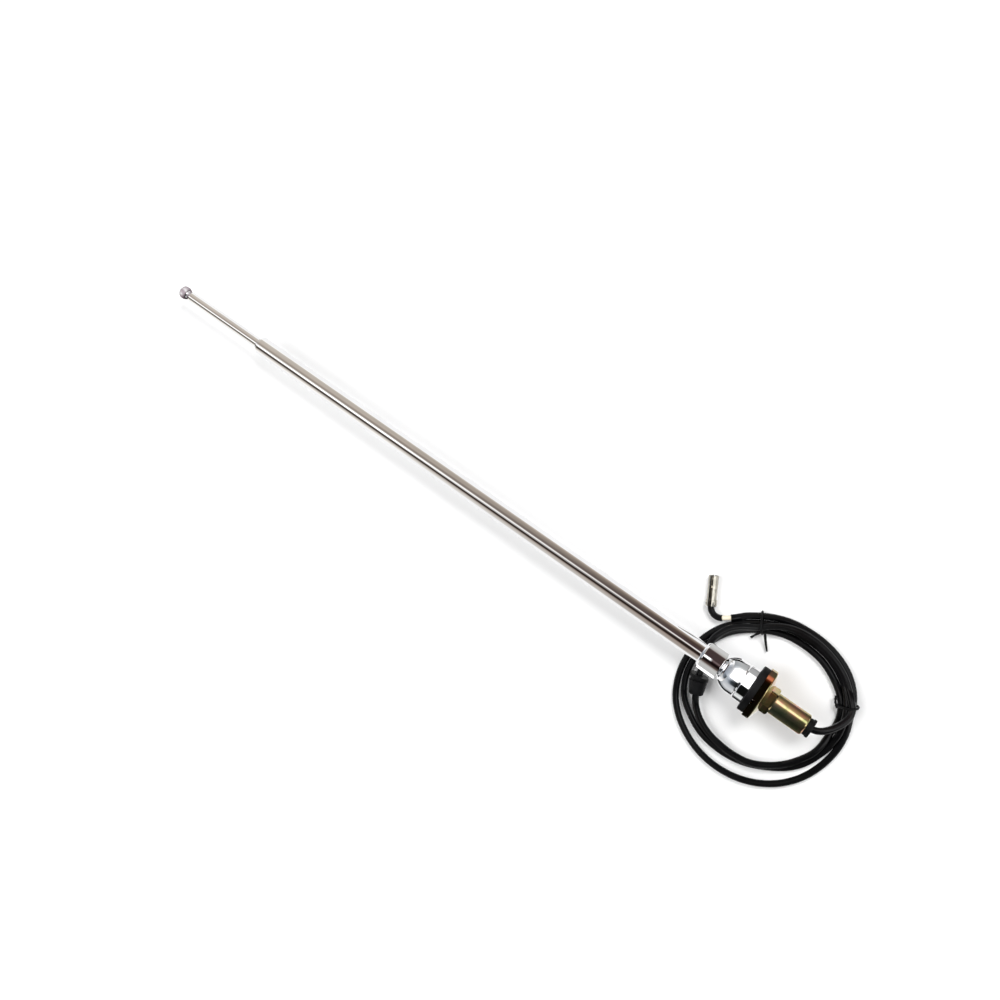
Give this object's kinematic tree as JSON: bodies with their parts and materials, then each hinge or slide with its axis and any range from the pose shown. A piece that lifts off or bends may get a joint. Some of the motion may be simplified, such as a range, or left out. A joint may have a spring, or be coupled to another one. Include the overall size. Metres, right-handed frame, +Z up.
{
  "type": "car mast aerial",
  "caption": "Chrome telescopic mast aerial on a tilting dome with wing gasket, claw washer, clamp nut, tube and a coiled coaxial lead with plug.",
  "frame": {"origin": "on the floor, below the middle of the aerial's length without the cable's coil and what is on it", "axes": "+X along the mast towards its tip, +Z up, the aerial lying on the claw washer's rim"},
  "size_m": [0.7837, 0.154, 0.0476],
  "materials": {
    "chrome": "polished",
    "rubber": "matt",
    "zinc": "passivated",
    "brass": "plain",
    "steel": "plain",
    "cable": "gloss",
    "nylon": "matt",
    "nickel": "bright",
    "tie": "matt"
  },
  "bodies": {
    "base": {"pivot_screw": "steel", "friction_washer": "steel", "swivel_dome": "chrome", "base_collar": "chrome", "rubber_gasket": "rubber", "mounting_stem": "zinc", "insulator_bush": "nylon", "contact_rod": "brass", "claw_washer": "zinc", "clamp_nut": "zinc", "underwing_tube": "zinc", "crimp_sleeve": "brass", "cable_gland": "rubber", "cable_lead": "cable", "cable_coil": "cable", "wing_grommet": "rubber", "tie_top": "tie", "tie_right": "tie", "core_sleeve": "nylon", "plug_boot": "cable", "plug_clamp": "nickel", "plug_shell": "nickel", "plug_pin": "nickel", "plug_insulator": "nylon"},
    "mast": {"mast_ferrule": "chrome", "swivel_eye": "brass", "outer_tube": "chrome"},
    "middle_section": {"middle_tube": "chrome", "middle_bush": "brass"},
    "tip_section": {"tip_tube": "chrome", "tip_bush": "brass", "tip_button": "chrome"}
  },
  "joints": [
    {"name": "mast_swivel", "type": "hinge", "parent": "base", "child": "mast", "pos_m": [-0.30157, 0, 0.0238], "axis": [0, 0, -1], "range_deg": [0, 60]},
    {"name": "middle_slide", "type": "slide", "parent": "mast", "child": "middle_section", "axis": [1, 0, 0], "range_m": [0, 0.47]},
    {"name": "tip_slide", "type": "slide", "parent": "middle_section", "child": "tip_section", "axis": [1, 0, 0], "range_m": [-0.098, 0.38]}
  ]
}
